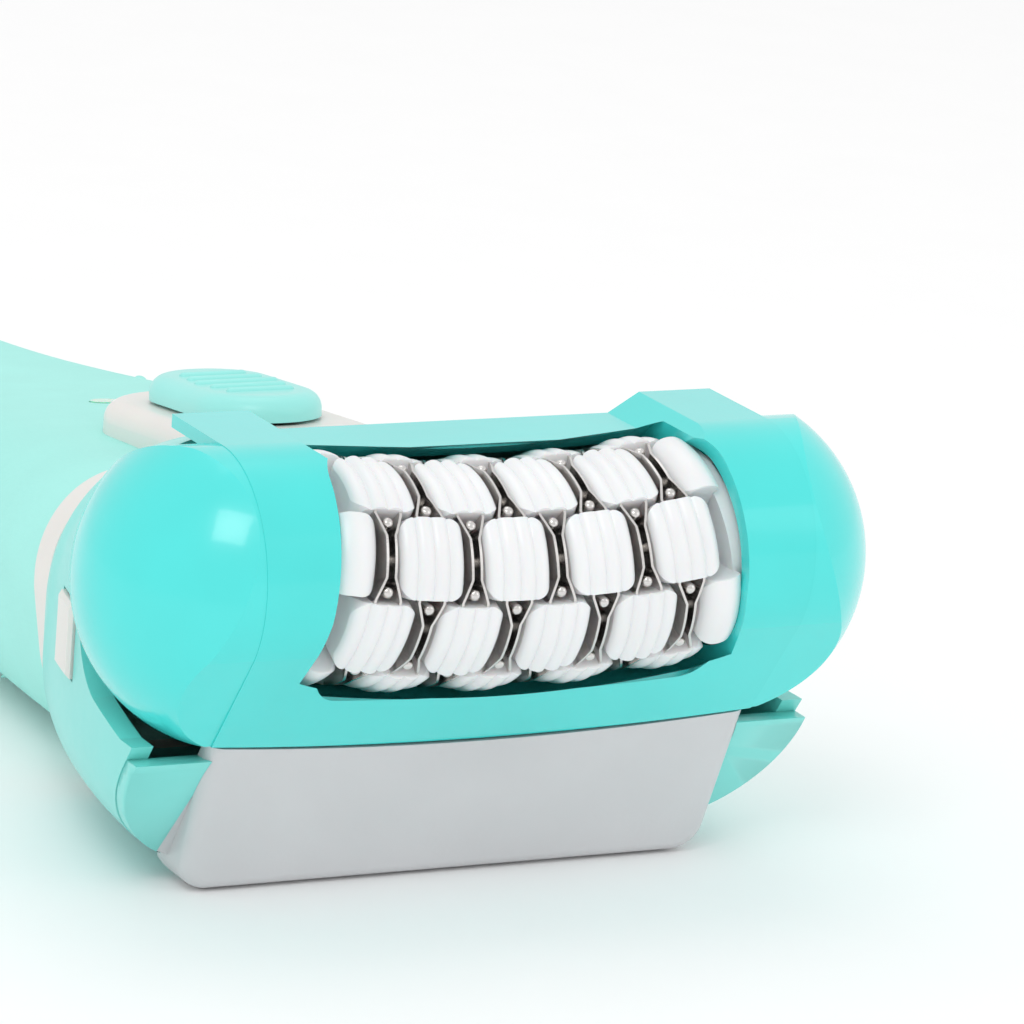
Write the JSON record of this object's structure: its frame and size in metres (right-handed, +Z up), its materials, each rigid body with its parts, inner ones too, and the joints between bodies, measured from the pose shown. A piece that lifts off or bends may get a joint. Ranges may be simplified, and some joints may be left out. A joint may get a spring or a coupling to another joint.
{
  "type": "epilator",
  "caption": "Cordless epilator lying on its back: curved drum of ribbed tweezer discs in a teal lift-off head, mint handle with switch pod and charging socket.",
  "frame": {"origin": "under the middle of the object's bounding box, on the plane it lies on", "axes": "+Y from the working head to the tail of the handle, +Z up on the switch side, X along the drum"},
  "size_m": [0.062, 0.1349, 0.0345],
  "materials": {
    "frame_teal": "glossy moulded",
    "cap_teal": "glossy moulded",
    "chin_grey": "fine satin",
    "inner_plastic": "as moulded",
    "shaft_steel": "ground",
    "clip_steel": "stamped",
    "disc_white": "satin moulded",
    "gear_plastic": "acetal",
    "pinion_brass": "machined",
    "neck_mint": "satin moulded",
    "collar_cream": "satin moulded",
    "handle_mint": "soft touch",
    "slider_mint": "satin moulded",
    "switch_black": "as moulded",
    "board_green": "solder mask",
    "motor_steel": "plated",
    "cell_wrap": "heat-shrink sleeve",
    "lens_clear": "clear",
    "tweezer_steel": "bright stamped"
  },
  "bodies": {
    "handle": {"neck_shell": "neck_mint", "collar": "collar_cream", "handle_shell_top": "handle_mint", "handle_shell_bottom": "handle_mint", "tail_cap": "collar_cream", "slide_switch": "switch_black", "circuit_board": "board_green", "motor_can": "motor_steel", "motor_mount": "inner_plastic", "battery_cells": "cell_wrap", "battery_cradle": "inner_plastic", "battery_contacts": "clip_steel", "charge_socket": "switch_black", "case_screws": "clip_steel", "indicator_lens": "lens_clear"},
    "head": {"head_frame": "frame_teal", "end_cap_left": "cap_teal", "end_cap_right": "cap_teal", "chin_cover": "chin_grey", "head_chassis": "inner_plastic", "drum_shaft": "shaft_steel", "shaft_clips": "clip_steel", "idler_axle": "shaft_steel", "crown_axle": "shaft_steel"},
    "end_left": {"end_disc_left": "disc_white", "drum_gear": "gear_plastic"},
    "end_right": {"end_disc_right": "disc_white"},
    "idler": {"idler_gear": "gear_plastic"},
    "crown": {"crown_gear": "gear_plastic"},
    "rotor": {"motor_shaft": "shaft_steel", "motor_pinion": "pinion_brass"},
    "slider": {"switch_slider": "slider_mint"},
    "button_left": {"release_button_left": "collar_cream"},
    "button_right": {"release_button_right": "collar_cream"},
    "tweezer_disc_1": {"disc_1": "disc_white", "tweezers_1": "tweezer_steel"},
    "tweezer_disc_2": {"disc_2": "disc_white", "tweezers_2": "tweezer_steel"},
    "tweezer_disc_3": {"disc_3": "disc_white", "tweezers_3": "tweezer_steel"},
    "tweezer_disc_4": {"disc_4": "disc_white", "tweezers_4": "tweezer_steel"},
    "tweezer_disc_5": {"disc_5": "disc_white", "tweezers_5": "tweezer_steel"},
    "tweezer_disc_6": {"disc_6": "disc_white", "tweezers_6": "tweezer_steel"},
    "tweezer_disc_7": {"disc_7": "disc_white", "tweezers_7": "tweezer_steel"},
    "tweezer_disc_8": {"disc_8": "disc_white", "tweezers_8": "tweezer_steel"}
  },
  "joints": [
    {"name": "head_release", "type": "slide", "parent": "handle", "child": "head", "axis": [0, -1, 0], "range_m": [0, 0.03]},
    {"name": "drum_spin", "type": "hinge", "parent": "head", "child": "end_left", "pos_m": [-0.01682, -0.05855, 0.02542], "axis": [0.9858, 0, -0.1682], "continuous": true},
    {"name": "disc_1_spin", "type": "hinge", "parent": "head", "child": "tweezer_disc_1", "pos_m": [-0.01222, -0.05855, 0.02475], "axis": [0.9925, 0, -0.1222], "continuous": true},
    {"name": "disc_2_spin", "type": "hinge", "parent": "head", "child": "tweezer_disc_2", "pos_m": [-0.00874, -0.05855, 0.02438], "axis": [0.9962, 0, -0.0874], "continuous": true},
    {"name": "disc_3_spin", "type": "hinge", "parent": "head", "child": "tweezer_disc_3", "pos_m": [-0.00525, -0.05855, 0.02414], "axis": [0.9986, 0, -0.0525], "continuous": true},
    {"name": "disc_4_spin", "type": "hinge", "parent": "head", "child": "tweezer_disc_4", "pos_m": [-0.00175, -0.05855, 0.02402], "axis": [0.9998, 0, -0.0175], "continuous": true},
    {"name": "disc_5_spin", "type": "hinge", "parent": "head", "child": "tweezer_disc_5", "pos_m": [0.00175, -0.05855, 0.02402], "axis": [0.9998, 0, 0.0175], "continuous": true},
    {"name": "disc_6_spin", "type": "hinge", "parent": "head", "child": "tweezer_disc_6", "pos_m": [0.00525, -0.05855, 0.02414], "axis": [0.9986, 0, 0.0525], "continuous": true},
    {"name": "disc_7_spin", "type": "hinge", "parent": "head", "child": "tweezer_disc_7", "pos_m": [0.00874, -0.05855, 0.02438], "axis": [0.9962, 0, 0.0874], "continuous": true},
    {"name": "disc_8_spin", "type": "hinge", "parent": "head", "child": "tweezer_disc_8", "pos_m": [0.01222, -0.05855, 0.02475], "axis": [0.9925, 0, 0.1222], "continuous": true},
    {"name": "end_right_spin", "type": "hinge", "parent": "head", "child": "end_right", "pos_m": [0.01682, -0.05855, 0.02542], "axis": [0.9858, 0, 0.1682], "continuous": true},
    {"name": "idler_spin", "type": "hinge", "parent": "head", "child": "idler", "pos_m": [-0.01959, -0.04647, 0.02018], "axis": [0.9858, 0, -0.1682], "continuous": true},
    {"name": "crown_spin", "type": "hinge", "parent": "head", "child": "crown", "pos_m": [-0.02049, -0.03883, 0.01491], "axis": [0.9858, 0, -0.1682], "continuous": true},
    {"name": "motor_spin", "type": "hinge", "parent": "handle", "child": "rotor", "pos_m": [0, -0.04, 0.01141], "axis": [0, 1, 0], "continuous": true},
    {"name": "switch_slide", "type": "slide", "parent": "handle", "child": "slider", "axis": [0, -0.9934, 0.1149], "range_m": [0, 0.006]},
    {"name": "button_left_press", "type": "slide", "parent": "handle", "child": "button_left", "axis": [1, 0, 0], "range_m": [0, 0.0008], "stiffness_N_per_m": 400, "springref_m": -0.0005},
    {"name": "button_right_press", "type": "slide", "parent": "handle", "child": "button_right", "axis": [-1, 0, 0], "range_m": [0, 0.0008], "stiffness_N_per_m": 400, "springref_m": -0.0005}
  ],
  "couplings": [
    {"joint": "disc_1_spin", "follows": "drum_spin", "ratio": 1},
    {"joint": "disc_2_spin", "follows": "drum_spin", "ratio": 1},
    {"joint": "disc_3_spin", "follows": "drum_spin", "ratio": 1},
    {"joint": "disc_4_spin", "follows": "drum_spin", "ratio": 1},
    {"joint": "disc_5_spin", "follows": "drum_spin", "ratio": 1},
    {"joint": "disc_6_spin", "follows": "drum_spin", "ratio": 1},
    {"joint": "disc_7_spin", "follows": "drum_spin", "ratio": 1},
    {"joint": "disc_8_spin", "follows": "drum_spin", "ratio": 1},
    {"joint": "end_right_spin", "follows": "drum_spin", "ratio": 1},
    {"joint": "idler_spin", "follows": "drum_spin", "ratio": -1.12},
    {"joint": "crown_spin", "follows": "drum_spin", "ratio": 2.3333},
    {"joint": "motor_spin", "follows": "drum_spin", "ratio": 7}
  ]
}
